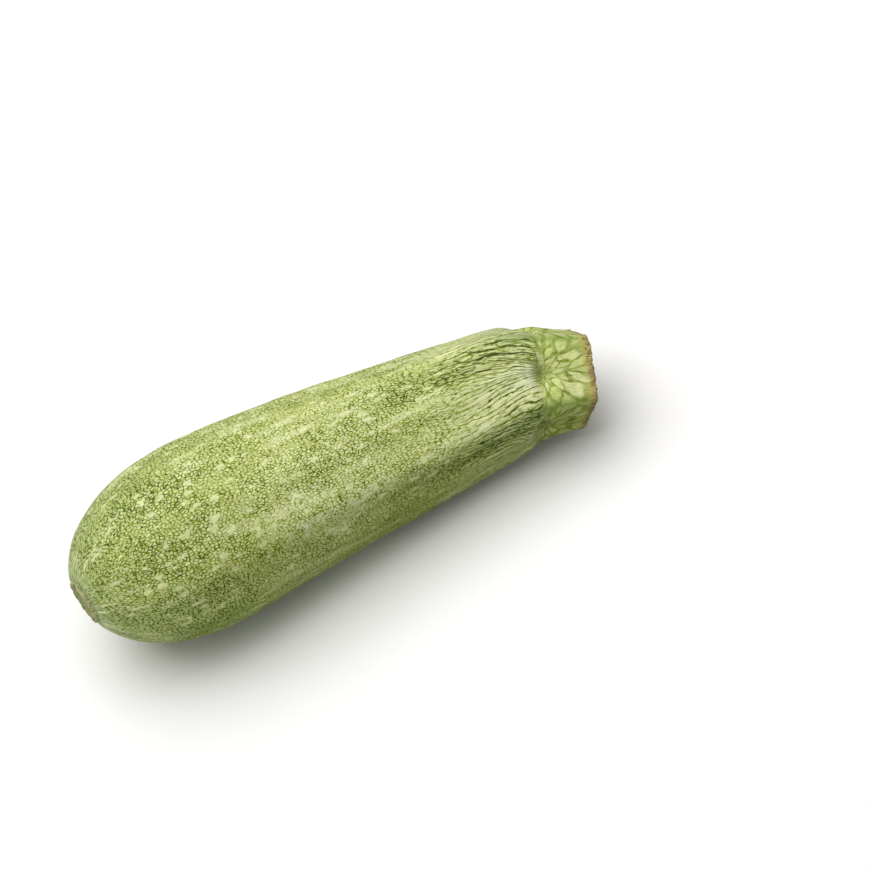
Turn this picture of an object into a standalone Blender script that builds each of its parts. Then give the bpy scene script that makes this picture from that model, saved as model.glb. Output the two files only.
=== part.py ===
"""A pale green summer squash of the courgette kind, lying on its side: fruit, cut stem stub and blossom scar in one.

Metres, +Z up. The blossom end is at -X and the stub at +X. The fruit rests on a small flat spot under its weight.
The body is a turned profile. Its ribs, the ridges and pits of the stub, the slanted cut and the gentle bend are then
formulas that move its points, in terms of the distance along the axis and the angle round it.
"""

import math

import bmesh
import bpy
import numpy as np

MM = 0.001

# Lengths along the axis, from the face of the blossom scar
LENGTH = 168.0 * MM
WIDEST_AT = 44.5 * MM
NECK_AT = 146.5 * MM
FOOT_AT = 153.0 * MM

# Radii
FRUIT_RADIUS = 28.75 * MM
NECK_RADIUS = 19.2 * MM
FOOT_RADIUS = 18.2 * MM
CUT_RADIUS = 15.7 * MM
SCAR_RADIUS = 7.0 * MM

# How round the blossom end is, and how soon the fruit narrows towards its neck
DOME_LENGTH = 45.3 * MM
DOME_POWER = 2.3
TAPER_POWER = 1.2

# The blossom scar stands a little proud of a shallow groove and is slightly dished
SCAR_RIM = 0.2 * MM
SCAR_DISH = 0.5 * MM
GROOVE_DEPTH = 1.45 * MM
GROOVE_WIDTH = 0.5 * MM
DOME_FROM_RADIUS = 9.0 * MM

# The cut end: a worn edge and a slightly sunken face. The whole end leans from the neck on, one side the longer
CUT_EDGE = 0.8 * MM
CUT_DISH = 0.7 * MM
CUT_SLANT = math.radians(22.0)
SLANT_FROM = 118.0 * MM
LONG_SIDE = math.radians(125.0)

# Five ribs run from the ridges of the stub and fade along the fruit, with five weaker ones between them
RIB_COUNT = 5
FIRST_RIB = math.radians(9.0)
RIB_AT_NECK = 0.050
RIB_AT_MIDDLE = 0.012
RIB_AT_BLOSSOM = 0.008
RIB_FADE_FROM = 55.0 * MM
RIB_CORNER = 0.25
MINOR_RIB = 0.007
LOPSIDED = 0.006

# The stub: ridges, the pits between their feet, and a knuckle on each side of every pit
RIDGE_DEPTH = 0.14
PIT_AT = 151.8 * MM
PIT_LENGTH = 2.9 * MM
PIT_DEPTH = 2.6 * MM
PIT_SHARPNESS = 3.0
KNUCKLE_AT = 156.0 * MM
KNUCKLE_LENGTH = 3.0 * MM
KNUCKLE_HEIGHT = 0.8 * MM

# The bend lies flat on the ground: headings of the axis, in degrees from +X towards +Y
BLOSSOM_HEADING = math.radians(10.0)
NECK_HEADING = math.radians(-1.8)
STUB_HEADING = math.radians(-23.5)
BEND_FROM = 137.0 * MM
BEND_TO = 159.0 * MM

# The way it lies: the axis falls towards the stub, so that the thick and the thin part both lie low
REST_TILT = math.radians(5.0)
FLAT_DEPTH = 0.5 * MM

# Fineness of the mesh
STEPS_ROUND = 60
DOME_RINGS = 11
BODY_RINGS = 24
NECK_RINGS = 16
STUB_RINGS = 9
AXIS_SAMPLES = 1200

SKIN_COLOUR = (0.36, 0.45, 0.17, 1.0)
STUB_COLOUR = (0.38, 0.47, 0.20, 1.0)
CUT_COLOUR = (0.55, 0.53, 0.20, 1.0)
SCAR_COLOUR = (0.36, 0.27, 0.14, 1.0)


def smooth(low, high, value):
    """0 below low, 1 above high, and an even ease between them."""
    t = np.clip((value - low) / (high - low), 0.0, 1.0)
    return t * t * (3.0 - 2.0 * t)


def bump(middle, reach, value):
    """A round bump of height 1."""
    return np.exp(-(((value - middle) / reach) ** 2))


def clear_scene():
    for obj in list(bpy.data.objects):
        bpy.data.objects.remove(obj, do_unlink=True)


def scar_profile():
    """(along, radius) from the middle of the blossom scar out to where the round end starts."""
    return [
        (SCAR_DISH, 0.0),
        (0.6 * SCAR_DISH, 0.45 * SCAR_RADIUS),
        (0.0, 0.85 * SCAR_RADIUS),
        (SCAR_RIM, SCAR_RADIUS),
        (0.6 * GROOVE_DEPTH, SCAR_RADIUS + 0.2 * GROOVE_WIDTH),
        (GROOVE_DEPTH, SCAR_RADIUS + GROOVE_WIDTH),
    ]


def dome_profile():
    """The round blossom end, a quarter of a superellipse."""
    start = math.asin(DOME_FROM_RADIUS / FRUIT_RADIUS)
    turns = np.linspace(start, math.pi / 2, DOME_RINGS)
    along = WIDEST_AT - DOME_LENGTH * np.cos(turns) ** (2.0 / DOME_POWER)
    return list(zip(along, FRUIT_RADIUS * np.sin(turns)))


def body_radius(along):
    """The long taper from the widest place to the neck."""
    share = (along - WIDEST_AT) / (NECK_AT - WIDEST_AT)
    return FRUIT_RADIUS - (FRUIT_RADIUS - NECK_RADIUS) * share**TAPER_POWER


def stub_radius(along):
    share = (along - FOOT_AT) / (LENGTH - FOOT_AT)
    return FOOT_RADIUS + (CUT_RADIUS - FOOT_RADIUS) * share


def neck_profile():
    """The taper, then the shoulder that curls in to the foot of the stub."""
    body = np.linspace(WIDEST_AT, BEND_FROM, BODY_RINGS + 1)[1:]
    neck = np.linspace(BEND_FROM, BEND_TO, NECK_RINGS + 1)[1:]
    along = np.concatenate([body, neck])
    share = smooth(NECK_AT, FOOT_AT, along)
    radius = body_radius(along) * (1.0 - share) + stub_radius(along) * share
    return list(zip(along, radius))


def cut_profile():
    """The rest of the stub, its worn edge, and the sunken face in to the axis."""
    along = np.linspace(BEND_TO, LENGTH - CUT_EDGE, STUB_RINGS + 1)[1:]
    side = list(zip(along, stub_radius(along)))
    edge = [
        (LENGTH - 0.3 * CUT_EDGE, CUT_RADIUS - 0.3 * CUT_EDGE),
        (LENGTH, CUT_RADIUS - CUT_EDGE),
    ]
    face = [
        (LENGTH - 0.7 * CUT_DISH, 0.65 * CUT_RADIUS),
        (LENGTH - CUT_DISH, 0.3 * CUT_RADIUS),
        (LENGTH - CUT_DISH, 0.0),
    ]
    return side + edge + face


def turned_mesh():
    """The profile turned about Z, top to bottom, and read back as a plain mesh with the axis still along Z."""
    profile = scar_profile() + dome_profile() + neck_profile() + cut_profile()
    profile.reverse()
    points = [(radius, 0.0, along) for along, radius in profile]
    edges = [(i, i + 1) for i in range(len(points) - 1)]
    mesh = bpy.data.meshes.new("profile")
    mesh.from_pydata(points, edges, [])
    obj = bpy.data.objects.new("profile", mesh)
    bpy.context.scene.collection.objects.link(obj)
    turn = obj.modifiers.new("turn", "SCREW")
    turn.axis = "Z"
    turn.steps = STEPS_ROUND
    turn.render_steps = STEPS_ROUND
    turn.use_merge_vertices = True
    turn.merge_threshold = 0.00001
    graph = bpy.context.evaluated_depsgraph_get()
    turned = bpy.data.meshes.new_from_object(obj.evaluated_get(graph))
    bpy.data.objects.remove(obj, do_unlink=True)
    bpy.data.meshes.remove(mesh)
    return turned


def rib_strength(along):
    """How far the five main ribs stand out, as a share of the radius."""
    rising = smooth(RIB_FADE_FROM, NECK_AT, along)
    middle = smooth(0.0, WIDEST_AT, along)
    base = RIB_AT_BLOSSOM + (RIB_AT_MIDDLE - RIB_AT_BLOSSOM) * middle
    return base + (RIB_AT_NECK - base) * rising


def shaped_radius(along, turn, radius):
    """The radius with its ribs, ridges, pits and knuckles."""
    wave = np.cos(RIB_COUNT * (turn - FIRST_RIB))
    corner = RIB_CORNER * np.cos(2 * RIB_COUNT * (turn - FIRST_RIB))
    on_fruit = 1.0 - smooth(NECK_AT, FOOT_AT, along)
    on_stub = 1.0 - on_fruit
    off_scar = smooth(0.0, DOME_FROM_RADIUS, radius)

    ribs = rib_strength(along) * (wave + corner)
    ribs += MINOR_RIB * np.cos(2 * RIB_COUNT * (turn - FIRST_RIB) + math.radians(20.0))
    ribs += LOPSIDED * np.cos(3 * turn + 1.0) + LOPSIDED * np.cos(2 * turn - 0.5)
    ridges = RIDGE_DEPTH * 0.5 * (wave + corner - 1.0 - RIB_CORNER)
    shaped = radius * (1.0 + off_scar * on_fruit * ribs + on_stub * ridges)

    valley = (0.5 - 0.5 * wave) ** PIT_SHARPNESS
    outer = smooth(0.5 * CUT_RADIUS, 0.9 * CUT_RADIUS, radius)
    shaped -= outer * PIT_DEPTH * valley * bump(PIT_AT, PIT_LENGTH, along)
    flank = np.sin(RIB_COUNT * (turn - FIRST_RIB)) ** 2
    return shaped + outer * KNUCKLE_HEIGHT * flank * bump(KNUCKLE_AT, KNUCKLE_LENGTH, along)


def heading(along):
    """The way the axis points, on the ground."""
    left = np.clip(1.0 - along / BEND_FROM, 0.0, 1.0)
    body = NECK_HEADING + (BLOSSOM_HEADING - NECK_HEADING) * left**2
    return body + (STUB_HEADING - NECK_HEADING) * smooth(BEND_FROM, BEND_TO, along)


def bent(points):
    """Points of the straight shape, with its axis along Z, laid along X and bent along the curved axis."""
    across, up, along = points.T
    turn = np.arctan2(up, across)
    radius = np.hypot(across, up)
    shaped = shaped_radius(along, turn, radius)
    slant = math.tan(CUT_SLANT) * np.cos(turn - LONG_SIDE)
    along = along + slant * shaped * smooth(SLANT_FROM, FOOT_AT, along)

    samples = np.linspace(-0.1 * LENGTH, 1.2 * LENGTH, AXIS_SAMPLES)
    step = samples[1] - samples[0]
    axis_x = np.cumsum(np.cos(heading(samples))) * step
    axis_y = np.cumsum(np.sin(heading(samples))) * step
    way = heading(along)
    side = shaped * np.cos(turn)
    return np.column_stack(
        [
            np.interp(along, samples, axis_x) - side * np.sin(way),
            np.interp(along, samples, axis_y) + side * np.cos(way),
            shaped * np.sin(turn),
        ]
    )


def laid_down(points):
    """Tipped so that its weight is over the belly, lowered until the belly is pressed flat, and centred."""
    x, y, z = points.T
    cos_tilt = math.cos(REST_TILT)
    sin_tilt = math.sin(REST_TILT)
    x, z = x * cos_tilt + z * sin_tilt, z * cos_tilt - x * sin_tilt
    z = np.maximum(z - z.min() - FLAT_DEPTH, 0.0)
    x = x - 0.5 * (x.min() + x.max())
    y = y - 0.5 * (y.min() + y.max())
    return np.column_stack([x, y, z])


def finish(name, colour, roughness):
    material = bpy.data.materials.new(name)
    material.use_nodes = True
    shader = material.node_tree.nodes["Principled BSDF"]
    shader.inputs["Base Color"].default_value = colour
    shader.inputs["Roughness"].default_value = roughness
    shader.inputs["Metallic"].default_value = 0.0
    return material


def give_finishes(mesh, along, radius):
    """One finish each for the skin, the stub, the cut and the scar, by where a face lies."""
    mesh.materials.clear()
    mesh.materials.append(finish("squash_skin", SKIN_COLOUR, 0.4))
    mesh.materials.append(finish("squash_stub", STUB_COLOUR, 0.45))
    mesh.materials.append(finish("squash_cut", CUT_COLOUR, 0.7))
    mesh.materials.append(finish("blossom_scar", SCAR_COLOUR, 0.8))
    for face in mesh.polygons:
        corners = list(face.vertices)
        face_along = float(along[corners].mean())
        face_radius = float(radius[corners].mean())
        if face_along < GROOVE_DEPTH and face_radius < SCAR_RADIUS + GROOVE_WIDTH:
            face.material_index = 3
        elif face_along > LENGTH - CUT_EDGE and face_radius < CUT_RADIUS - 0.5 * CUT_EDGE:
            face.material_index = 2
        elif face_along > FOOT_AT:
            face.material_index = 1


def make_squash():
    mesh = turned_mesh()
    points = np.empty(3 * len(mesh.vertices))
    mesh.vertices.foreach_get("co", points)
    points = points.reshape(-1, 3)
    give_finishes(mesh, points[:, 2], np.hypot(points[:, 0], points[:, 1]))
    mesh.vertices.foreach_set("co", laid_down(bent(points)).ravel())
    mesh.name = "squash"

    shape = bmesh.new()
    shape.from_mesh(mesh)
    bmesh.ops.triangulate(shape, faces=shape.faces)
    shape.to_mesh(mesh)
    shape.free()
    mesh.shade_smooth()

    squash = bpy.data.objects.new("squash", mesh)
    collection = bpy.data.collections.new("summer_squash")
    bpy.context.scene.collection.children.link(collection)
    collection.objects.link(squash)
    return squash


clear_scene()
make_squash()
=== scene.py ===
"""The looks of the pale green summer squash: netted skin, marbled ridged stub, corky cut and blossom scar.

Lengths are metres. Pattern coordinates on the skin are millimetres, so a texture's scale is in cells per
millimetre, except for the cut face's grain and the scar, which read Object coordinates.
"""

import math

import bpy
import numpy as np
from mathutils import Matrix, Vector, noise


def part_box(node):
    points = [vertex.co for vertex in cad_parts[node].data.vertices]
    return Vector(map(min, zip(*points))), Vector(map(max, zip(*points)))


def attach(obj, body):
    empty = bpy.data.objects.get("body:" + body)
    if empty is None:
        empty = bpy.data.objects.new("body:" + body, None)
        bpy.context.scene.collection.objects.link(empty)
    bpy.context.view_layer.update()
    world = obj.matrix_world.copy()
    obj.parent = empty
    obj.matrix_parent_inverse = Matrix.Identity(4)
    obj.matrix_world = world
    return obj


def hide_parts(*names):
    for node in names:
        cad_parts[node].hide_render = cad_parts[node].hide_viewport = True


MM = 0.001

# The solid's own shape, as in the part's source
LENGTH = 168.0 * MM
WIDEST_AT = 44.5 * MM
NECK_AT = 146.5 * MM
FOOT_AT = 153.0 * MM
FRUIT_RADIUS = 28.75 * MM
NECK_RADIUS = 19.2 * MM
FOOT_RADIUS = 18.2 * MM
CUT_RADIUS = 15.7 * MM
SCAR_RADIUS = 7.0 * MM
DOME_LENGTH = 45.3 * MM
DOME_POWER = 2.3
TAPER_POWER = 1.2
SCAR_RIM = 0.2 * MM
SCAR_DISH = 0.5 * MM
GROOVE_DEPTH = 1.45 * MM
GROOVE_WIDTH = 0.5 * MM
DOME_FROM_RADIUS = 9.0 * MM
CUT_EDGE = 0.8 * MM
CUT_DISH = 0.7 * MM
CUT_SLANT = math.radians(22.0)
SLANT_FROM = 118.0 * MM
LONG_SIDE = math.radians(125.0)
RIB_COUNT = 5
FIRST_RIB = math.radians(9.0)
RIB_AT_NECK = 0.050
RIB_AT_MIDDLE = 0.012
RIB_AT_BLOSSOM = 0.008
RIB_FADE_FROM = 55.0 * MM
RIB_CORNER = 0.25
MINOR_RIB = 0.007
LOPSIDED = 0.006
RIDGE_DEPTH = 0.14
PIT_AT = 151.8 * MM
PIT_LENGTH = 2.9 * MM
PIT_DEPTH = 2.6 * MM
PIT_SHARPNESS = 3.0
KNUCKLE_AT = 156.0 * MM
KNUCKLE_LENGTH = 3.0 * MM
KNUCKLE_HEIGHT = 0.8 * MM
BLOSSOM_HEADING = math.radians(10.0)
NECK_HEADING = math.radians(-1.8)
STUB_HEADING = math.radians(-23.5)
BEND_FROM = 137.0 * MM
BEND_TO = 159.0 * MM
REST_TILT = math.radians(5.0)
FLAT_DEPTH = 0.5 * MM
AXIS_SAMPLES = 1200

# Fineness of the visible mesh
SEGMENTS = 352
SCAR_RINGS = 14
DOME_RINGS = 44
BODY_RINGS = 104
NECK_RINGS = 52
STUB_RINGS = 40
EDGE_RINGS = 8
FACE_RINGS = 14

# Small forms that only this mesh carries
LUMP_HEIGHT = 0.16 * MM
EDGE_ROUGHNESS = 0.45 * MM
FACE_ROUGHNESS = 0.25 * MM
SCAR_ROUGHNESS = 0.35 * MM

# Noise of the crumbled places: two sizes, and where each axis reads it
COARSE_NOISE = 700.0
FINE_NOISE = 1900.0
FINE_SHARE = 0.6
NOISE_SHIFTS = (Vector((9.3, -1.5, -7.9)), Vector((0.0, 0.0, 0.0)), Vector((-6.2, 0.1, -19.8)))

# The net's cells: how many lie along a millimetre, and where they are drawn out and run together
CELL_RATE = 0.66
CELL_RATE_DROP = 0.46
DRAWN_OUT_FROM = 100.0 * MM
DRAWN_OUT_AT = 146.0 * MM
GATHERED_FROM = 124.0 * MM
GATHERED_MOST = 1.3
GATHERED_EASE = 1.5

# The veins of the stub, which spread from the pits
VEINS_ROUND = 4.2
VEINS_OUT = 1.9
VEINS_START = 0.6
VEINS_APART = 17.0

# Where the skin changes
STUB_SKIN_FROM = 149.0 * MM
STUB_SKIN_AT = 151.5 * MM
STUB_SKIN_DIP = 1.2 * MM
CREST_POWER = 14
HOLLOW_LENGTH = 3.2 * MM
# A pale painted highlight on the fruit just before the pits: where it is strongest and how far it reaches
PIT_HIGHLIGHT_AT = 146.5 * MM
PIT_HIGHLIGHT_LENGTH = 4.5 * MM
# The darker flank past each rib: partly the skin's own dark stripe, partly painted shade of the facet
# below the rib
FLANK_PAST_RIB = 0.20
FLANK_WIDTH = 0.17
FLANK_FROM = 80.0 * MM
FLANK_AT = 135.0 * MM
BELLY_EDGE = 0.955
BELLY_FULL = 0.995
BELLY_FROM = 14.0 * MM
BELLY_AT = 45.0 * MM
WORN_FROM = LENGTH - 6.5 * CUT_EDGE
WORN_AT = LENGTH - 0.5 * CUT_EDGE

# Hairs of the stub
HAIR_SEED = 5
HAIRS_EACH = 110
HAIR_RADIUS = 0.04 * MM
HAIR_LENGTH = 1.6 * MM
HAIR_LEAN = 0.45

# The camera: where it looks from, how it is turned, and where the middle of the object falls in the frame
FRAME_PIXELS = 872
PIXEL = 0.3025 * MM
CAMERA_DISTANCE = 1.5
CAMERA_AZIMUTH = math.radians(-4.0)
CAMERA_ELEVATION = math.radians(55.0)
CAMERA_ROLL = math.radians(24.99)
SENSOR = 0.036
MIDDLE_AT = (328.5, 461.8)

# Light and floor
KEY_PLACE = (-0.12, 0.26, 1.3)
KEY_SIZE = 1.5
KEY_POWER = 21.2
KEY_COLOUR = (1.0, 0.985, 0.975)
SKY_STRENGTH = 0.33
FLOOR_SIZE = 8.0
FLOOR_DROP = 0.0002
BOUNCE_CHANGES = (-0.085, -0.060)

# Colours of the skin, with a painted highlight and painted shade among them
PALE_GREEN = (0.70, 0.755, 0.36, 1)
OLIVE_GREEN = (0.61, 0.67, 0.26, 1)
BLOSSOM_GREEN = (0.54, 0.64, 0.26, 1)
TIP_GREEN = (0.70, 0.79, 0.50, 1)
NECK_GREEN = (0.80, 0.84, 0.47, 1)
STREAK_GREEN = (0.76, 0.81, 0.46, 1)
RUSTY = (0.62, 0.55, 0.22, 1)
SCUFFED = (0.80, 0.84, 0.60, 1)
BELLY_YELLOW = (0.78, 0.78, 0.38, 1)
# Painted highlight: the pale whitish patch in the valleys by the pits
PIT_HIGHLIGHT_WHITE = (0.76, 0.82, 0.62, 1)
# Darker flank past each rib: partly the skin's own stripe, partly painted shade
FLANK_GREEN_AND_SHADE = (0.42, 0.52, 0.16, 1)
FLECK_GREEN = (0.77, 0.81, 0.46, 1)
LINE_OLIVE = (0.22, 0.30, 0.015, 1)
LINE_DARK = (0.040, 0.060, 0.001, 1)
# Painted shade: darker green on the skin round the groove of the blossom scar
SCAR_GROOVE_SHADE = (0.15, 0.22, 0.05, 1)
RIB_FOOT_GREEN = (0.08, 0.16, 0.015, 1)

# Colours of the stub and its cut
STUB_PALE = (0.72, 0.75, 0.36, 1)
STUB_GREEN = (0.55, 0.62, 0.19, 1)
VEIN_GREEN = (0.20, 0.28, 0.02, 1)
RIDGE_GREEN = (0.16, 0.27, 0.03, 1)
PIT_GREEN = (0.14, 0.24, 0.03, 1)
WORN_YELLOW = (0.52, 0.48, 0.15, 1)
RIM_CORK = (0.43, 0.32, 0.12, 1)
RIM_CRUMB = (0.08, 0.045, 0.01, 1)
FLESH_PALE = (0.60, 0.61, 0.30, 1)
FLESH_GREEN = (0.50, 0.53, 0.22, 1)
FLESH_RING = (0.30, 0.38, 0.08, 1)
FLESH_LINE = (0.30, 0.30, 0.08, 1)
PITH = (0.66, 0.60, 0.38, 1)
CUT_CORK = (0.50, 0.34, 0.14, 1)
CUT_CRUMB = (0.12, 0.06, 0.02, 1)

# Colours of the scar, the hairs and the floor
SCAR_DARK = (0.16, 0.21, 0.05, 1)
SCAR_PALE = (0.38, 0.42, 0.17, 1)
SCAR_CORK = (0.52, 0.40, 0.24, 1)
SCAR_SPECK = (0.05, 0.035, 0.02, 1)
HAIR_COLOUR = (0.80, 0.81, 0.66, 1)
FLOOR_WHITE = (0.92, 0.92, 0.92, 1)
FLOOR_WHITER = (0.94, 0.94, 0.94, 1)
BOUNCE_AT_BLOSSOM = (0.80, 0.82, 0.74, 1)
BOUNCE_BEYOND = (0.34, 0.38, 0.23, 1)


def smooth(low, high, value):
    """0 below low, 1 above high, and an even ease between them."""
    t = np.clip((value - low) / (high - low), 0.0, 1.0)
    return t * t * (3.0 - 2.0 * t)


def bump(middle, reach, value):
    """A round bump of height 1."""
    return np.exp(-(((value - middle) / reach) ** 2))


# The shape


def body_radius(along):
    share = (along - WIDEST_AT) / (NECK_AT - WIDEST_AT)
    return FRUIT_RADIUS - (FRUIT_RADIUS - NECK_RADIUS) * share**TAPER_POWER


def stub_radius(along):
    share = (along - FOOT_AT) / (LENGTH - FOOT_AT)
    return FOOT_RADIUS + (CUT_RADIUS - FOOT_RADIUS) * share


def through(points, count):
    """Evenly spaced (along, radius) pairs on the line through a few points, the first left out."""
    along, radius = np.array(points).T
    way = np.concatenate([[0.0], np.cumsum(np.hypot(np.diff(along), np.diff(radius)))])
    places = np.linspace(0.0, way[-1], count + 1)[1:]
    return list(zip(np.interp(places, way, along), np.interp(places, way, radius)))


def stations():
    """(along, radius) of every ring, from the middle of the blossom scar to the middle of the cut."""
    scar = [
        (SCAR_DISH, 0.0),
        (0.6 * SCAR_DISH, 0.45 * SCAR_RADIUS),
        (0.0, 0.85 * SCAR_RADIUS),
        (SCAR_RIM, SCAR_RADIUS),
        (0.6 * GROOVE_DEPTH, SCAR_RADIUS + 0.2 * GROOVE_WIDTH),
        (GROOVE_DEPTH, SCAR_RADIUS + GROOVE_WIDTH),
    ]
    rings = [scar[0]] + through(scar, SCAR_RINGS)

    start = math.asin(DOME_FROM_RADIUS / FRUIT_RADIUS)
    turns = np.linspace(start, math.pi / 2, DOME_RINGS)
    along = WIDEST_AT - DOME_LENGTH * np.cos(turns) ** (2.0 / DOME_POWER)
    rings += list(zip(along, FRUIT_RADIUS * np.sin(turns)))

    body = np.linspace(WIDEST_AT, BEND_FROM, BODY_RINGS + 1)[1:]
    neck = np.linspace(BEND_FROM, BEND_TO, NECK_RINGS + 1)[1:]
    along = np.concatenate([body, neck])
    share = smooth(NECK_AT, FOOT_AT, along)
    rings += list(zip(along, body_radius(along) * (1.0 - share) + stub_radius(along) * share))

    along = np.linspace(BEND_TO, LENGTH - CUT_EDGE, STUB_RINGS + 1)[1:]
    rings += list(zip(along, stub_radius(along)))
    edge = [
        rings[-1],
        (LENGTH - 0.3 * CUT_EDGE, CUT_RADIUS - 0.3 * CUT_EDGE),
        (LENGTH, CUT_RADIUS - CUT_EDGE),
    ]
    rings += through(edge, EDGE_RINGS)
    face = [
        rings[-1],
        (LENGTH - 0.7 * CUT_DISH, 0.65 * CUT_RADIUS),
        (LENGTH - CUT_DISH, 0.3 * CUT_RADIUS),
        (LENGTH - CUT_DISH, 0.0),
    ]
    return np.array(rings + through(face, FACE_RINGS))


def rib_strength(along):
    rising = smooth(RIB_FADE_FROM, NECK_AT, along)
    middle = smooth(0.0, WIDEST_AT, along)
    base = RIB_AT_BLOSSOM + (RIB_AT_MIDDLE - RIB_AT_BLOSSOM) * middle
    return base + (RIB_AT_NECK - base) * rising


def shaped_radius(along, turn, radius):
    """The radius with its ribs, ridges, pits and knuckles, as the solid has them."""
    wave = np.cos(RIB_COUNT * (turn - FIRST_RIB))
    corner = RIB_CORNER * np.cos(2 * RIB_COUNT * (turn - FIRST_RIB))
    on_fruit = 1.0 - smooth(NECK_AT, FOOT_AT, along)
    on_stub = 1.0 - on_fruit
    off_scar = smooth(0.0, DOME_FROM_RADIUS, radius)

    ribs = rib_strength(along) * (wave + corner)
    ribs += MINOR_RIB * np.cos(2 * RIB_COUNT * (turn - FIRST_RIB) + math.radians(20.0))
    ribs += LOPSIDED * np.cos(3 * turn + 1.0) + LOPSIDED * np.cos(2 * turn - 0.5)
    ridges = RIDGE_DEPTH * 0.5 * (wave + corner - 1.0 - RIB_CORNER)
    shaped = radius * (1.0 + off_scar * on_fruit * ribs + on_stub * ridges)

    valley = (0.5 - 0.5 * wave) ** PIT_SHARPNESS
    outer = smooth(0.5 * CUT_RADIUS, 0.9 * CUT_RADIUS, radius)
    shaped -= outer * PIT_DEPTH * valley * bump(PIT_AT, PIT_LENGTH, along)
    flank = np.sin(RIB_COUNT * (turn - FIRST_RIB)) ** 2
    return shaped + outer * KNUCKLE_HEIGHT * flank * bump(KNUCKLE_AT, KNUCKLE_LENGTH, along)


def lumps(along, turn, radius):
    """The slight unevenness of a grown surface, from a few waves of unlike lengths."""
    a = along / MM
    wave = np.sin(0.21 * a + 3.0 * turn) + np.sin(0.37 * a - 5.0 * turn + 1.3)
    wave += np.sin(0.13 * a + 7.0 * turn + 4.0) + np.sin(0.52 * a + 2.0 * turn + 2.2)
    return 0.25 * LUMP_HEIGHT * wave * smooth(DOME_FROM_RADIUS, 2.0 * DOME_FROM_RADIUS, radius)


def uneven(place):
    """Noise of its own along each axis, from the scalar noise, which repeats from run to run."""
    return np.array([noise.noise(place + shift) for shift in NOISE_SHIFTS])


def roughened(points, along, radius):
    """The crumbled edge of the cut, its fibrous face and the cork of the scar: uneven by noise."""
    edge = bump(LENGTH - 0.3 * CUT_EDGE, 1.6 * CUT_EDGE, along) * smooth(0.8, 0.95, radius / CUT_RADIUS)
    face = smooth(LENGTH - 1.5 * CUT_DISH, LENGTH - CUT_DISH, along) * (1.0 - edge)
    scar = (1.0 - smooth(0.6 * GROOVE_DEPTH, GROOVE_DEPTH, along)) * (radius < DOME_FROM_RADIUS)
    height = EDGE_ROUGHNESS * edge + FACE_ROUGHNESS * face + SCAR_ROUGHNESS * scar
    for i in np.nonzero(height > 0.02 * MM)[0]:
        place = Vector(points[i])
        points[i] += height[i] * (uneven(place * COARSE_NOISE) + FINE_SHARE * uneven(place * FINE_NOISE))
    return points


def heading(along):
    left = np.clip(1.0 - along / BEND_FROM, 0.0, 1.0)
    body = NECK_HEADING + (BLOSSOM_HEADING - NECK_HEADING) * left**2
    return body + (STUB_HEADING - NECK_HEADING) * smooth(BEND_FROM, BEND_TO, along)


def bent(along, turn, radius):
    """Points laid along the curved axis on the ground, with the slanted cut."""
    shaped = shaped_radius(along, turn, radius)
    slant = math.tan(CUT_SLANT) * np.cos(turn - LONG_SIDE)
    along = along + slant * shaped * smooth(SLANT_FROM, FOOT_AT, along)
    shaped = shaped + lumps(along, turn, radius)

    samples = np.linspace(-0.1 * LENGTH, 1.2 * LENGTH, AXIS_SAMPLES)
    step = samples[1] - samples[0]
    axis_x = np.cumsum(np.cos(heading(samples))) * step
    axis_y = np.cumsum(np.sin(heading(samples))) * step
    way = heading(along)
    side = shaped * np.cos(turn)
    return np.column_stack(
        [
            np.interp(along, samples, axis_x) - side * np.sin(way),
            np.interp(along, samples, axis_y) + side * np.cos(way),
            shaped * np.sin(turn),
        ]
    )


def laid_down(points, low, high):
    """Tipped as the solid is, pressed flat where it lies, and centred on the solid's box."""
    x, y, z = points.T
    cos_tilt = math.cos(REST_TILT)
    sin_tilt = math.sin(REST_TILT)
    x, z = x * cos_tilt + z * sin_tilt, z * cos_tilt - x * sin_tilt
    z = np.maximum(z - z.min() - FLAT_DEPTH, 0.0)
    x = x - 0.5 * (x.min() + x.max()) + 0.5 * (low[0] + high[0])
    y = y - 0.5 * (y.min() + y.max()) + 0.5 * (low[1] + high[1])
    return np.column_stack([x, y, z])


# Pattern coordinates that grow with the skin


def stretched(along):
    """Distance along the skin as the net counts it, so that its cells are drawn out towards the neck."""
    samples = np.linspace(0.0, 1.2 * LENGTH, AXIS_SAMPLES)
    rate = CELL_RATE - CELL_RATE_DROP * smooth(DRAWN_OUT_FROM, DRAWN_OUT_AT, samples)
    run = np.cumsum(rate) * (samples[1] - samples[0])
    return np.interp(along, samples, run) / MM


def gathered(along, turn):
    """The angle round the fruit as the net counts it, so that its lines run together into the pits."""
    sector = 2.0 * math.pi / RIB_COUNT
    from_pit = (turn - FIRST_RIB) % sector - 0.5 * sector
    share = np.abs(from_pit) / (0.5 * sector)
    power = 1.0 + GATHERED_MOST * smooth(GATHERED_FROM, FOOT_AT, along) ** GATHERED_EASE
    drawn = share ** (1.0 / power)
    return turn + np.sign(from_pit) * (drawn - share) * 0.5 * sector


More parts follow.
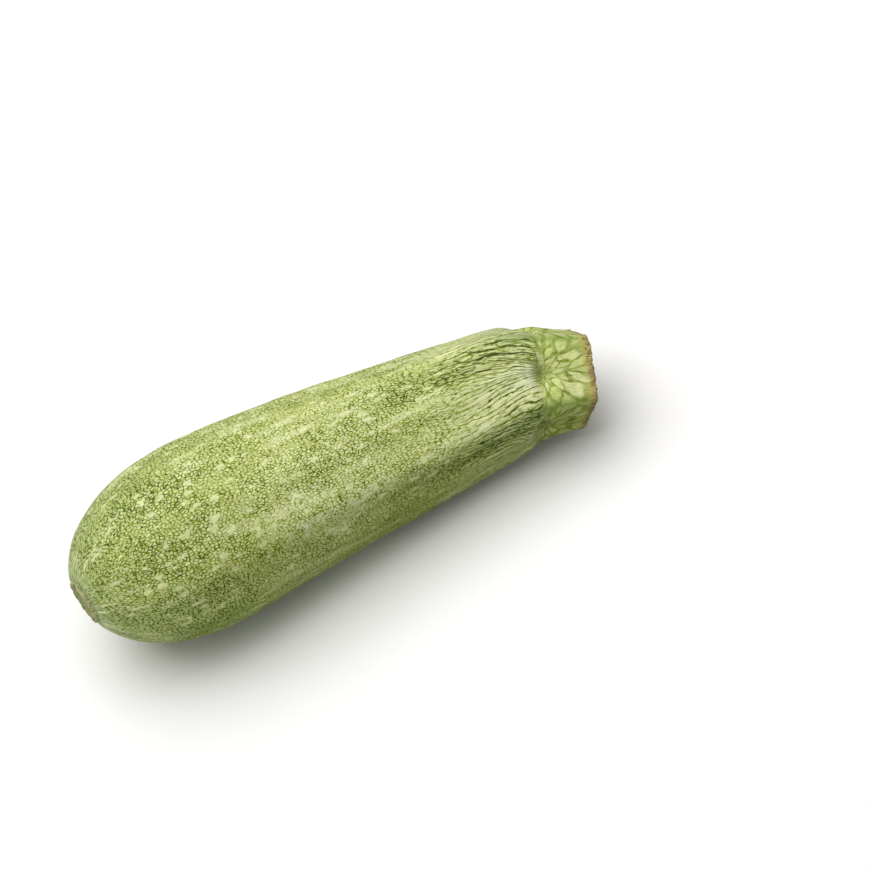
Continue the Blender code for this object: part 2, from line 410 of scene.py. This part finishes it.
def write_patterns(mesh, along, turn, radius):
    """The named values that the finishes read, one for each point."""
    wave = np.cos(RIB_COUNT * (turn - FIRST_RIB))
    valley = 0.5 - 0.5 * wave
    sector = 2.0 * math.pi / RIB_COUNT
    girth = FRUIT_RADIUS / MM
    flat = np.column_stack([girth * gathered(along, turn), stretched(along), 0.0 * along])
    skin = np.column_stack([girth * np.cos(turn), girth * np.sin(turn), stretched(along)])

    number = np.floor((turn - FIRST_RIB) / sector)
    across = ((turn - FIRST_RIB) / sector - number - 0.5) * sector * FOOT_RADIUS / MM
    ahead = (along - PIT_AT) / MM
    veins_round = VEINS_ROUND * np.arctan2(across, ahead) + VEINS_APART * (number % RIB_COUNT)
    veins_out = VEINS_OUT * np.log(np.hypot(across, ahead) + VEINS_START)
    veins = np.column_stack([veins_round, veins_out, 0.0 * along])
    face = np.column_stack([radius * np.cos(turn), radius * np.sin(turn), 0.0 * along]) / MM

    past_rib = ((turn - FIRST_RIB + sector / 2) % sector) / sector - 0.5
    under = 0.5 - 0.5 * np.sin(turn)
    vectors = {"net": flat, "skin": skin, "veins": veins, "cut_face": face}
    values = {
        "along": along / MM,
        "stub": smooth(STUB_SKIN_FROM, STUB_SKIN_AT, along + STUB_SKIN_DIP * valley**2),
        "crest": (0.5 + 0.5 * wave) ** CREST_POWER,
        "hollow": valley**3 * bump(PIT_AT, HOLLOW_LENGTH, along),
        # Painted highlight: a pale patch in the valleys just before the pits
        "pit_highlight": valley**2 * bump(PIT_HIGHLIGHT_AT, PIT_HIGHLIGHT_LENGTH, along),
        # Flank past each rib: partly the skin's dark stripe, partly painted shade of the facet below the
        # rib
        "flank": bump(FLANK_PAST_RIB, FLANK_WIDTH, past_rib) * smooth(FLANK_FROM, FLANK_AT, along),
        "belly": smooth(BELLY_EDGE, BELLY_FULL, under) * smooth(BELLY_FROM, BELLY_AT, along),
        "worn": smooth(WORN_FROM, WORN_AT, along),
        "radius": radius / MM,
    }
    for name, value in vectors.items():
        mesh.attributes.new(name, "FLOAT_VECTOR", "POINT").data.foreach_set("vector", value.ravel())
    for name, value in values.items():
        mesh.attributes.new(name, "FLOAT", "POINT").data.foreach_set("value", value)


def make_squash():
    """A sphere whose rings are moved to the stations of the fruit, so that it is closed at both ends."""
    rings = stations()[::-1]
    bpy.ops.mesh.primitive_uv_sphere_add(segments=SEGMENTS, ring_count=len(rings) - 1, radius=1.0)
    squash = bpy.context.object
    squash.name = "squash_skin"
    mesh = squash.data
    points = np.empty(3 * len(mesh.vertices), np.float32)
    mesh.vertices.foreach_get("co", points)
    x, y, z = points.reshape(-1, 3).astype(float).T
    ring = np.rint(np.arccos(np.clip(z, -1.0, 1.0)) / math.pi * (len(rings) - 1)).astype(int)
    along, radius = rings[ring].T
    turn = (np.arctan2(y, x) + 0.5 * math.pi) % (2.0 * math.pi) - 0.5 * math.pi
    low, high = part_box("squash")
    points = roughened(bent(along, turn, radius), along, radius)
    mesh.vertices.foreach_set("co", laid_down(points, low, high).ravel())
    write_patterns(mesh, along, turn, radius)
    mesh.update()
    mesh.shade_smooth()
    while mesh.uv_layers:
        mesh.uv_layers.remove(mesh.uv_layers[0])
    return squash, along, radius


# Finishes


class Board:
    """Puts nodes in one tree and wires them."""

    def __init__(self, tree):
        self.tree = tree

    def put(self, kind, settings=None, sockets=None):
        node = self.tree.nodes.new(kind)
        for name, value in (settings or {}).items():
            setattr(node, name, value)
        for name, value in (sockets or {}).items():
            self.feed(node.inputs[name], value)
        return node

    def feed(self, socket, value):
        if isinstance(value, bpy.types.NodeSocket):
            self.tree.links.new(value, socket)
        else:
            socket.default_value = value

    def value(self, name):
        return self.put("ShaderNodeAttribute", {"attribute_name": name}).outputs["Fac"]

    def vector(self, name):
        return self.put("ShaderNodeAttribute", {"attribute_name": name}).outputs["Vector"]

    def maths(self, operation, *values):
        node = self.put("ShaderNodeMath", {"operation": operation})
        for socket, value in zip(node.inputs, values):
            self.feed(socket, value)
        return node.outputs[0]

    def times(self, *values):
        result = values[0]
        for value in values[1:]:
            result = self.maths("MULTIPLY", result, value)
        return result

    def ease(self, value, low, high, start=0.0, end=1.0):
        """The value eased from start at low to end at high."""
        sockets = {"Value": value, "From Min": low, "From Max": high, "To Min": start, "To Max": end}
        return self.put("ShaderNodeMapRange", {"interpolation_type": "SMOOTHSTEP"}, sockets).outputs[0]

    def blend(self, share, first, second):
        node = self.put("ShaderNodeMix", {"data_type": "RGBA"})
        self.feed(node.inputs[0], share)
        self.feed(node.inputs[6], first)
        self.feed(node.inputs[7], second)
        return node.outputs[2]

    def scaled(self, vector, scale):
        sockets = {"Vector": vector, "Scale": scale}
        return self.put("ShaderNodeMapping", None, sockets).outputs[0]

    def cloud(self, vector, scale, detail=2.0, rough=0.5):
        sockets = {"Vector": vector, "Scale": scale, "Detail": detail, "Roughness": rough}
        return self.put("ShaderNodeTexNoise", None, sockets).outputs["Fac"]


def net_group():
    """Cells with lines between them that waver in width and break here and there."""
    tree = bpy.data.node_groups.new("skin_net", "ShaderNodeTree")
    face = tree.interface
    face.new_socket("Vector", in_out="INPUT", socket_type="NodeSocketVector")
    for name in ("Scale", "Line", "Waver", "Break"):
        face.new_socket(name, in_out="INPUT", socket_type="NodeSocketFloat")
    face.new_socket("Lines", in_out="OUTPUT", socket_type="NodeSocketFloat")
    face.new_socket("Cell", in_out="OUTPUT", socket_type="NodeSocketFloat")
    face.new_socket("Place", in_out="OUTPUT", socket_type="NodeSocketVector")
    board = Board(tree)
    given = board.put("NodeGroupInput").outputs
    sockets = {"Vector": given["Vector"], "Scale": 0.9, "Detail": 2.0}
    drift = board.put("ShaderNodeTexNoise", None, sockets).outputs["Color"]
    centred = board.put("ShaderNodeVectorMath", {"operation": "SUBTRACT"})
    board.feed(centred.inputs[0], drift)
    board.feed(centred.inputs[1], (0.5, 0.5, 0.5))
    pushed = board.put("ShaderNodeVectorMath", {"operation": "ADD"})
    board.feed(pushed.inputs[0], centred.outputs[0])
    board.feed(pushed.inputs[1], given["Vector"])
    spread = board.put("ShaderNodeMix", {"data_type": "VECTOR"})
    board.feed(spread.inputs[0], given["Waver"])
    board.feed(spread.inputs[4], given["Vector"])
    board.feed(spread.inputs[5], pushed.outputs[0])
    place = spread.outputs[1]
    sockets = {"Vector": place, "Scale": given["Scale"]}
    kind = {"voronoi_dimensions": "2D"}
    edge = board.put("ShaderNodeTexVoronoi", {**kind, "feature": "DISTANCE_TO_EDGE"}, sockets).outputs[0]
    cell = board.put("ShaderNodeTexVoronoi", {**kind, "feature": "F1"}, sockets).outputs
    width = board.times(given["Line"], board.ease(board.cloud(given["Vector"], 0.8), 0.3, 0.7, 0.5, 1.5))
    line = board.ease(board.maths("DIVIDE", edge, width), 0.3, 1.0, 1.0, 0.0)
    broken = board.ease(board.cloud(given["Vector"], 1.7, 1.0), 0.36, 0.56)
    kept = board.maths("SUBTRACT", 1.0, board.times(given["Break"], broken))
    out = board.put("NodeGroupOutput")
    board.feed(out.inputs["Lines"], board.times(line, kept))
    board.feed(out.inputs["Cell"], cell["Color"])
    board.feed(out.inputs["Place"], cell["Position"])
    return tree


def strokes_group():
    """Long lines along the fruit that sway a little, change width and break into dashes."""
    tree = bpy.data.node_groups.new("skin_strokes", "ShaderNodeTree")
    face = tree.interface
    face.new_socket("Vector", in_out="INPUT", socket_type="NodeSocketVector")
    for name in ("Density", "Line", "Break"):
        face.new_socket(name, in_out="INPUT", socket_type="NodeSocketFloat")
    face.new_socket("Lines", in_out="OUTPUT", socket_type="NodeSocketFloat")
    board = Board(tree)
    given = board.put("NodeGroupInput").outputs
    vector = given["Vector"]
    parts = board.put("ShaderNodeSeparateXYZ", None, {"Vector": vector}).outputs
    sway = board.cloud(board.scaled(vector, (0.5, 0.9, 1.0)), 0.7, 3.0)
    sway = board.times(1.1, board.maths("SUBTRACT", sway, 0.5))
    across = board.maths("ADD", board.times(parts["X"], given["Density"]), board.times(sway, 1.6))
    off = board.maths("ABSOLUTE", board.maths("SUBTRACT", board.maths("FRACT", across), 0.5))
    number = board.maths("FLOOR", across)
    sockets = {"X": board.times(number, 7.3), "Y": parts["Y"]}
    place = board.put("ShaderNodeCombineXYZ", None, sockets).outputs[0]
    width = board.times(given["Line"], board.ease(board.cloud(place, 1.8, 2.0), 0.3, 0.7, 0.5, 1.3))
    line = board.ease(board.maths("DIVIDE", off, width), 0.55, 1.0, 1.0, 0.0)
    gap = board.times(given["Break"], board.ease(board.cloud(place, 1.1, 3.0), 0.44, 0.58))
    out = board.put("NodeGroupOutput")
    board.feed(out.inputs["Lines"], board.times(line, board.maths("SUBTRACT", 1.0, gap)))
    return tree


def strokes(board, group, vector, density, line, broken):
    sockets = {"Vector": vector, "Density": density, "Line": line, "Break": broken}
    return board.put("ShaderNodeGroup", {"node_tree": group}, sockets).outputs["Lines"]


def net(board, group, vector, scale, line, waver=0.5, broken=0.5):
    sockets = {"Vector": vector, "Scale": scale, "Line": line, "Waver": waver, "Break": broken}
    return board.put("ShaderNodeGroup", {"node_tree": group}, sockets).outputs


def new_finish(name, roughness):
    material = bpy.data.materials.new(name)
    material.use_nodes = True
    shader = material.node_tree.nodes["Principled BSDF"]
    shader.inputs["Roughness"].default_value = roughness
    return material, Board(material.node_tree), shader


def flecks(board, place):
    """Longish pale flecks, each a few cells of the net."""
    wide = board.scaled(place, (0.36, 0.27, 1.0))
    kind = {"voronoi_dimensions": "2D", "feature": "F1"}
    node = board.put("ShaderNodeTexVoronoi", kind, {"Vector": wide, "Scale": 1.0})
    size = board.put("ShaderNodeSeparateColor", None, {"Color": node.outputs["Color"]}).outputs[0]
    limit = board.ease(size, 0.30, 1.0, 0.0, 0.36)
    return board.ease(board.maths("SUBTRACT", limit, node.outputs["Distance"]), 0.0, 0.12)


def skin_zones(board, skin, given):
    """Parts of the skin that more than one layer of its finish reads, each from 0 to 1."""
    along = given["along"]
    radius = given["radius"]
    streak = board.cloud(board.scaled(skin, (1.0, 1.0, 0.40)), 0.17, 4.0)
    scuffs = board.ease(board.cloud(skin, 0.45, 5.0, 0.7), 0.44, 0.56)
    on_middle = board.times(board.ease(along, 52.0, 68.0), board.ease(along, 92.0, 116.0, 1.0, 0.0))
    level = board.put("ShaderNodeSeparateXYZ", None, {"Vector": skin}).outputs["Y"]
    below_top = board.ease(level, 18.0, 25.0, 1.0, 0.0)
    return {
        "near_blossom": board.ease(along, 20.0, 70.0, 1.0, 0.0),
        "near_neck": board.ease(along, 104.0, 142.0),
        # Where the painted shade round the scar's groove lies
        "scar_groove_shade": board.ease(radius, 7.5, 10.5, 1.0, 0.0),
        "near_scar": board.ease(radius, 9.0, 15.0, 1.0, 0.0),
        "tip": board.ease(radius, 8.0, 17.0, 1.0, 0.0),
        "rib_foot": board.times(given["crest"], board.ease(along, 134.0, 148.0)),
        "streak": board.ease(streak, 0.54, 0.66),
        "scuffs": board.times(scuffs, given["crest"], on_middle, below_top),
    }


def layered(board, colour, layers):
    """The colour with (share, mask, colour) layers laid over it in turn."""
    for share, mask, over in layers:
        colour = board.blend(board.times(share, mask), colour, over)
    return colour


def ground_colour(board, skin, given, zones):
    """Pale green that drifts to olive, with streaks, rusty patches, a pale painted highlight by the pits
    and darker flanks that are partly painted shade.
    """
    drift = board.cloud(board.scaled(skin, (1.0, 1.0, 0.5)), 0.07, 3.0)
    rusty = board.cloud(board.scaled(skin, (1.0, 1.0, 0.6)), 0.21, 2.0)
    layers = (
        (0.7, zones["near_blossom"], BLOSSOM_GREEN),
        (0.5, zones["tip"], TIP_GREEN),
        (0.7, zones["near_neck"], NECK_GREEN),
        (0.6, zones["streak"], STREAK_GREEN),
        (0.45, board.ease(rusty, 0.60, 0.70), RUSTY),
        (0.45, zones["scuffs"], SCUFFED),
        (0.8, given["belly"], BELLY_YELLOW),
        # Painted highlight by the pits
        (0.55, given["pit_highlight"], PIT_HIGHLIGHT_WHITE),
        # Darker flank: partly the skin's stripe, partly painted shade
        (0.4, given["flank"], FLANK_GREEN_AND_SHADE),
    )
    return layered(board, board.blend(board.ease(drift, 0.38, 0.64), PALE_GREEN, OLIVE_GREEN), layers)


def net_lines(board, skin, flat, given, zones, fine, spot, groups):
    """How strong the lines of the skin are, and how dark: a net in a net, drawn out at both ends."""
    net_tree, stroke_tree = groups
    finer = net(board, net_tree, flat, 2.1, 0.24, 0.6, 0.6)
    long_lines = strokes(board, stroke_tree, flat, 0.52, 0.15, 0.3)
    short_lines = strokes(board, stroke_tree, board.scaled(flat, (1.0, 1.7, 1.0)), 0.80, 0.16, 0.9)
    near_ends = board.maths("MAXIMUM", zones["near_neck"], zones["near_scar"])
    strength = board.ease(board.cloud(skin, 0.16, 2.0), 0.3, 0.7, 0.64, 0.95)
    lines = board.maths("MAXIMUM", fine["Lines"], board.times(finer["Lines"], 0.45))
    lines = board.times(lines, strength, board.ease(zones["streak"], 0.0, 1.0, 1.0, 0.75))
    lines = board.times(lines, board.ease(near_ends, 0.0, 1.0, 1.0, 0.6))
    drawn = board.maths("MAXIMUM", long_lines, board.times(0.6, short_lines))
    lines = board.maths("MAXIMUM", lines, board.times(drawn, near_ends))
    # On the flanks, whose darkness is partly painted shade, lines are firmer and darker; near the blossom
    # they are firmer too
    firmer = board.maths("MAXIMUM", given["flank"], board.times(0.5, zones["near_blossom"]))
    lines = board.maths("MINIMUM", board.times(lines, board.ease(firmer, 0.0, 1.0, 1.0, 1.5)), 1.0)
    for share, mask in ((0.7, spot), (0.7, given["belly"]), (0.45, zones["scuffs"])):
        lines = board.times(lines, board.maths("SUBTRACT", 1.0, board.times(share, mask)))

    dark = board.ease(board.cloud(flat, 0.75, 2.0), 0.40, 0.56)
    darker = (
        board.times(0.42, zones["near_blossom"]),
        board.times(0.55, zones["near_neck"], long_lines),
        given["flank"],
    )
    for other in darker:
        dark = board.maths("MAXIMUM", dark, other)
    return lines, dark


def stub_colour(board, given, group):
    """Marbled, with veins that spread from the pits and a green line along each ridge."""
    veins = board.vector("veins")
    marbled = net(board, group, veins, 0.72, 0.19, 1.1, 0.3)
    small = net(board, group, veins, 1.7, 0.2, 0.8, 0.7)
    vein = board.maths("MAXIMUM", marbled["Lines"], board.times(0.4, small["Lines"]))
    colour = board.blend(vein, board.blend(marbled["Cell"], STUB_PALE, STUB_GREEN), VEIN_GREEN)
    layers = ((0.6, given["crest"], RIDGE_GREEN), (0.3, given["hollow"], PIT_GREEN))
    return layered(board, colour, layers), vein


def worn_layers(board, skin, given):
    """The worn edge of the cut: green runs to yellow, and that to cork with dark crumbs."""
    jitter = board.times(1.3, board.maths("SUBTRACT", board.cloud(skin, 0.9, 4.0, 0.65), 0.5))
    ragged = board.maths("ADD", given["worn"], jitter)
    crumbs = board.ease(board.cloud(skin, 1.4, 4.0, 0.7), 0.50, 0.58)
    cork = board.blend(crumbs, RIM_CORK, RIM_CRUMB)
    return (
        (0.55, board.ease(ragged, 0.05, 0.6), WORN_YELLOW),
        (0.9, board.ease(ragged, 0.6, 0.9), cork),
    )


def skin_finish(net_tree, stroke_tree):
    material, board, shader = new_finish("squash_skin", 0.45)
    shader.inputs["Specular IOR Level"].default_value = 0.17
    skin = board.vector("skin")
    flat = board.vector("net")
    names = ("along", "stub", "hollow", "crest", "worn", "radius", "pit_highlight", "belly", "flank")
    given = {name: board.value(name) for name in names}
    zones = skin_zones(board, skin, given)

    fine = net(board, net_tree, flat, 1.12, 0.29, 0.7, 0.4)
    spot = flecks(board, fine["Place"])
    lines, dark = net_lines(board, skin, flat, given, zones, fine, spot, (net_tree, stroke_tree))
    ground = ground_colour(board, skin, given, zones)
    colour = board.blend(board.times(0.35, spot), ground, FLECK_GREEN)
    colour = board.blend(board.ease(lines, 0.16, 0.62), colour, LINE_OLIVE)
    layers = (
        (dark, board.ease(lines, 0.45, 0.85), LINE_DARK),
        # Painted shade round the scar's groove
        (0.2, zones["scar_groove_shade"], SCAR_GROOVE_SHADE),
        (0.6, zones["rib_foot"], RIB_FOOT_GREEN),
    )
    colour = layered(board, colour, layers)
    on_stub, vein = stub_colour(board, given, net_tree)
    colour = board.blend(given["stub"], colour, on_stub)
    colour = layered(board, colour, worn_layers(board, skin, given))

    tone = board.ease(fine["Cell"], 0.1, 0.9, 0.90, 1.06)
    toned = board.put("ShaderNodeHueSaturation", None, {"Color": colour, "Value": tone})
    board.feed(shader.inputs["Base Color"], toned.outputs[0])
    height = board.maths("SUBTRACT", board.times(0.3, spot), lines)
    height = board.maths("SUBTRACT", height, board.times(given["stub"], vein))
    relief = board.put("ShaderNodeBump", None, {"Height": height, "Strength": 0.6, "Distance": 0.00015})
    board.feed(shader.inputs["Normal"], relief.outputs[0])
    return material


def cut_finish(group):
    """Pale flesh with a green ring and a dry pith, and cork towards the rim."""
    material, board, shader = new_finish("stem_cut", 0.75)
    skin = board.put("ShaderNodeTexCoord").outputs["Object"]
    radius = board.value("radius")
    pith = board.ease(radius, 5.0, 9.0, 1.0, 0.0)
    cells = net(board, group, board.vector("cut_face"), 0.9, 0.2, 0.6, 0.5)
    flesh = board.blend(cells["Cell"], FLESH_PALE, FLESH_GREEN)
    flesh = board.blend(pith, flesh, PITH)
    ring = board.times(board.ease(radius, 9.5, 11.0), board.ease(radius, 11.5, 13.0, 1.0, 0.0))
    flesh = layered(board, flesh, ((0.5, ring, FLESH_RING), (0.5, cells["Lines"], FLESH_LINE)))
    outer = board.ease(radius, 11.5, 14.8)
    speck = board.ease(board.cloud(skin, 1600.0, 2.0), 0.50, 0.62)
    cork = board.blend(speck, CUT_CORK, CUT_CRUMB)
    colour = board.blend(outer, flesh, cork)
    board.feed(shader.inputs["Base Color"], colour)
    height = board.maths("SUBTRACT", board.cloud(skin, 1500.0, 3.0), cells["Lines"])
    relief = board.put("ShaderNodeBump", None, {"Height": height, "Strength": 0.6, "Distance": 0.0002})
    board.feed(shader.inputs["Normal"], relief.outputs[0])
    return material


def scar_finish():
    """Greenish cork with a broken tan rim and dark specks."""
    material, board, shader = new_finish("blossom_scar", 0.85)
    place = board.put("ShaderNodeTexCoord").outputs["Object"]
    radius = board.value("radius")
    grain = board.cloud(place, 900.0, 4.0, 0.6)
    patches = board.cloud(place, 380.0, 3.0)
    colour = board.blend(board.ease(grain, 0.35, 0.65), SCAR_DARK, SCAR_PALE)
    rim = board.times(board.ease(radius, 5.0, 6.4), board.ease(patches, 0.42, 0.52))
    specks = board.times(board.ease(radius, 5.0, 6.2), board.ease(patches, 0.36, 0.42, 1.0, 0.0))
    colour = layered(board, colour, ((0.9, rim, SCAR_CORK), (0.8, specks, SCAR_SPECK)))
    board.feed(shader.inputs["Base Color"], colour)
    relief = board.put("ShaderNodeBump", None, {"Height": grain, "Strength": 0.8, "Distance": 0.0003})
    board.feed(shader.inputs["Normal"], relief.outputs[0])
    return material


def give_finishes(squash, along, radius):
    """Skin and stub in one finish, then the cut face and the scar by where a face lies."""
    group = net_group()
    mesh = squash.data
    mesh.materials.clear()
    for material in (skin_finish(group, strokes_group()), cut_finish(group), scar_finish()):
        mesh.materials.append(material)
    for face in mesh.polygons:
        corners = list(face.vertices)
        middle = float(along[corners].mean())
        out = float(radius[corners].mean())
        if middle > LENGTH - CUT_EDGE and out < CUT_RADIUS - CUT_EDGE:
            face.material_index = 1
        elif middle < 0.3 * GROOVE_DEPTH and out < SCAR_RADIUS + 0.2 * GROOVE_WIDTH:
            face.material_index = 2


def hair_finish():
    material, _, shader = new_finish("stem_hairs", 0.6)
    shader.inputs["Base Color"].default_value = HAIR_COLOUR
    return material


def hair_roots(along, radius):
    """Skin points where hairs stand: in a band round the foot of the stub and on the worn rim."""
    picks = np.random.default_rng(HAIR_SEED)
    foot = (along > FOOT_AT - 2.5 * MM) & (along < FOOT_AT + 1.5 * MM)
    rim = (along > LENGTH - 1.2 * CUT_EDGE) & (radius > CUT_RADIUS - 0.6 * CUT_EDGE)
    chosen = [picks.choice(np.nonzero(band)[0], HAIRS_EACH, replace=False) for band in (foot, rim)]
    return picks, np.concatenate(chosen)


def make_hairs(squash, along, radius):
    """Short pale hairs: one tapered cone, set down again at every root."""
    bpy.ops.mesh.primitive_cone_add(vertices=5, radius1=HAIR_RADIUS, radius2=0.2 * HAIR_RADIUS, depth=1.0)
    hairs = bpy.context.object
    hairs.name = "stem_hairs"
    cone = hairs.data
    shape = np.array([vertex.co for vertex in cone.vertices])
    faces = [list(face.vertices) for face in cone.polygons]
    picks, roots = hair_roots(along, radius)
    points = []
    corners = []
    for number, root in enumerate(roots):
        vertex = squash.data.vertices[int(root)]
        lean = Vector(picks.normal(0.0, HAIR_LEAN, 3))
        way = (Vector(vertex.normal) + lean).normalized()
        length = HAIR_LENGTH * picks.uniform(0.5, 1.0)
        turn = np.array(way.to_track_quat("Z", "Y").to_matrix())
        sized = shape * (1.0, 1.0, length) + (0.0, 0.0, 0.45 * length)
        points.append(sized @ turn.T + np.array(vertex.co))
        corners += [[corner + number * len(shape) for corner in face] for face in faces]
    cone.clear_geometry()
    cone.from_pydata(np.concatenate(points).tolist(), [], corners)
    cone.update()
    cone.shade_smooth()
    cone.materials.clear()
    cone.materials.append(hair_finish())
    return hairs


# Camera, floor and light


def make_camera():
    back = Vector(
        (
            math.sin(CAMERA_AZIMUTH) * math.cos(CAMERA_ELEVATION),
            -math.cos(CAMERA_AZIMUTH) * math.cos(CAMERA_ELEVATION),
            math.sin(CAMERA_ELEVATION),
        )
    )
    level = Vector((math.cos(CAMERA_AZIMUTH), math.sin(CAMERA_AZIMUTH), 0.0))
    upward = back.cross(level)
    right = level * math.cos(CAMERA_ROLL) - upward * math.sin(CAMERA_ROLL)
    up = level * math.sin(CAMERA_ROLL) + upward * math.cos(CAMERA_ROLL)
    low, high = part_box("squash")
    middle = (Vector(low) + Vector(high)) / 2
    across = (MIDDLE_AT[0] - FRAME_PIXELS / 2) * PIXEL
    above = (FRAME_PIXELS / 2 - MIDDLE_AT[1]) * PIXEL
    data = bpy.data.cameras.new("camera")
    data.sensor_width = SENSOR * 1000.0
    data.lens = data.sensor_width * CAMERA_DISTANCE / (FRAME_PIXELS * PIXEL)
    data.clip_start = 0.01
    data.clip_end = 50.0
    camera = bpy.data.objects.new("camera", data)
    turn = Matrix((right, up, back)).transposed().to_4x4()
    turn.translation = middle + back * CAMERA_DISTANCE - right * across - up * above
    camera.matrix_world = turn
    bpy.context.scene.collection.objects.link(camera)
    bpy.context.scene.camera = camera


def make_floor():
    """White to the camera. What it throws back is darker and greener beyond the blossom end."""
    bpy.ops.mesh.primitive_plane_add(size=FLOOR_SIZE, location=(0.0, 0.0, -FLOOR_DROP))
    floor = bpy.context.object
    floor.name = "floor"
    material, board, shader = new_finish("floor_white", 0.9)
    place = board.put("ShaderNodeTexCoord").outputs["Object"]
    white = board.blend(board.cloud(place, 30.0), FLOOR_WHITE, FLOOR_WHITER)
    seen = board.put("ShaderNodeLightPath").outputs["Is Camera Ray"]
    across = board.put("ShaderNodeSeparateXYZ", None, {"Vector": place}).outputs["X"]
    bounce = board.blend(board.ease(across, *BOUNCE_CHANGES), BOUNCE_AT_BLOSSOM, BOUNCE_BEYOND)
    board.feed(shader.inputs["Base Color"], board.blend(seen, bounce, white))
    floor.data.materials.append(material)


def make_lights():
    """A white sky and one large soft light overhead."""
    world = bpy.data.worlds.new("soft_white")
    world.use_nodes = True
    background = world.node_tree.nodes["Background"]
    background.inputs["Color"].default_value = (1.0, 1.0, 1.0, 1.0)
    background.inputs["Strength"].default_value = SKY_STRENGTH
    bpy.context.scene.world = world
    data = bpy.data.lights.new("key", "AREA")
    data.size = KEY_SIZE
    data.energy = KEY_POWER
    data.color = KEY_COLOUR
    key = bpy.data.objects.new("key", data)
    key.location = KEY_PLACE
    key.rotation_mode = "QUATERNION"
    key.rotation_quaternion = Vector(KEY_PLACE).to_track_quat("Z", "Y")
    bpy.context.scene.collection.objects.link(key)
    bpy.context.scene.view_settings.view_transform = "Standard"


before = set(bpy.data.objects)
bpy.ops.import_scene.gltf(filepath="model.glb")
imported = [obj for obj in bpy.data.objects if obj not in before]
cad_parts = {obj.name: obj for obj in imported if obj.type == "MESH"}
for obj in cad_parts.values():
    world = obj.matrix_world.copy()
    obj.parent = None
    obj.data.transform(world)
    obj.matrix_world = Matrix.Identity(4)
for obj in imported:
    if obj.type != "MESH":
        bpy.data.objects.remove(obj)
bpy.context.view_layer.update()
bpy.ops.object.select_all(action="DESELECT")

make_camera()
squash, along, radius = make_squash()
give_finishes(squash, along, radius)
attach(squash, "root")
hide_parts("squash")
hairs = make_hairs(squash, along, radius)
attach(hairs, "root")
make_floor()
make_lights()
